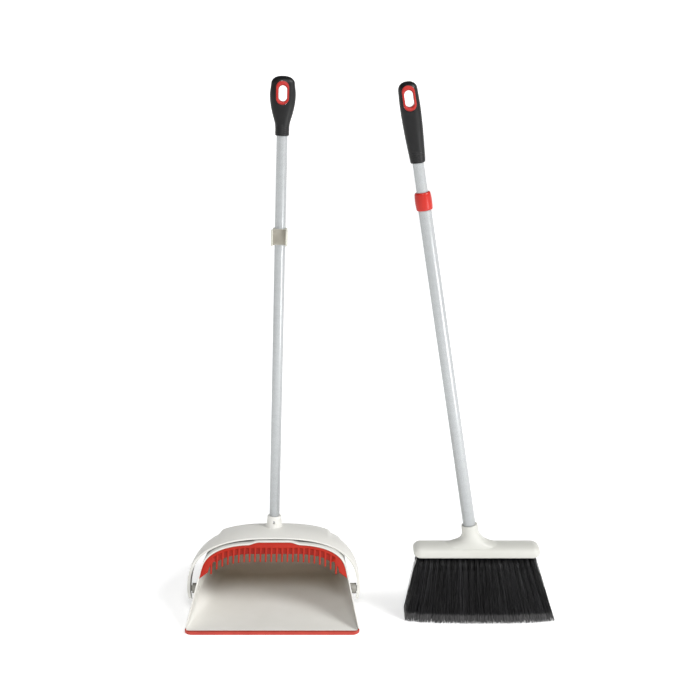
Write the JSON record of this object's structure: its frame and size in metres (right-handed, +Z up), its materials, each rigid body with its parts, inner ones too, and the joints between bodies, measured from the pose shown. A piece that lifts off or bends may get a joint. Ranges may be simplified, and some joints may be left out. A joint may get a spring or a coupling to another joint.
{
  "type": "upright dustpan and broom set",
  "caption": "Upright dustpan with a hooded pan, bristle comb and swinging yoke pole, beside a long-handled broom with an extending pole and fanned bristles.",
  "frame": {"origin": "on the floor, under the pan's flat base, in line with the middle of the pan", "axes": "+Z up, -Y towards the pan's lip, +X towards the broom"},
  "size_m": [0.666, 0.255, 0.9515],
  "materials": {
    "shell_white": "satin",
    "clip_grey": "satin",
    "pivot_grey": "satin",
    "soft_red": "satin",
    "collar_red": "satin",
    "grip_black": "matte",
    "inner_black": "matte",
    "aluminium_tube": "satin",
    "steel_screw": "satin",
    "bristle_black": "matte"
  },
  "bodies": {
    "pan": {"pan_shell": "shell_white", "pan_lip_strip": "soft_red", "bristle_comb": "soft_red", "pivot_pin_left": "pivot_grey", "pivot_pin_right": "pivot_grey", "pivot_washer_left": "pivot_grey", "pivot_washer_right": "pivot_grey"},
    "yoke": {"yoke": "shell_white", "pole_screw": "steel_screw", "dustpan_pole": "aluminium_tube", "dustpan_pole_plug": "inner_black", "pole_clip": "clip_grey", "dustpan_grip_core": "inner_black", "dustpan_grip": "grip_black", "dustpan_hang_ring": "soft_red"},
    "broom": {"broom_head": "shell_white", "tuft_plate": "inner_black", "head_screw_left": "steel_screw", "head_screw_right": "steel_screw", "bristle_row_1": "bristle_black", "bristle_row_2": "bristle_black", "bristle_row_3": "bristle_black", "bristle_row_4": "bristle_black", "broom_outer_tube": "aluminium_tube", "collet": "inner_black"},
    "collar": {"twist_collar": "collar_red"},
    "upper_pole": {"broom_inner_tube": "aluminium_tube", "inner_tube_bush": "inner_black", "broom_grip_core": "inner_black", "broom_grip": "grip_black", "broom_hang_ring": "soft_red"}
  },
  "joints": [
    {"name": "yoke_tilt", "type": "hinge", "parent": "pan", "child": "yoke", "pos_m": [0, -0.045, 0.042], "axis": [1, 0, 0], "range_deg": [0, 60]},
    {"name": "broom_lift", "type": "slide", "parent": "pan", "child": "broom", "axis": [0, 0, 1], "range_m": [0, 0.3]},
    {"name": "collar_twist", "type": "hinge", "parent": "broom", "child": "collar", "pos_m": [0.3504, -0.065, 0.178], "axis": [-0.1564, 0, 0.9877], "range_deg": [0, 90]},
    {"name": "pole_extend", "type": "slide", "parent": "broom", "child": "upper_pole", "axis": [-0.1564, 0, 0.9877], "range_m": [-0.04, 0.36]}
  ]
}
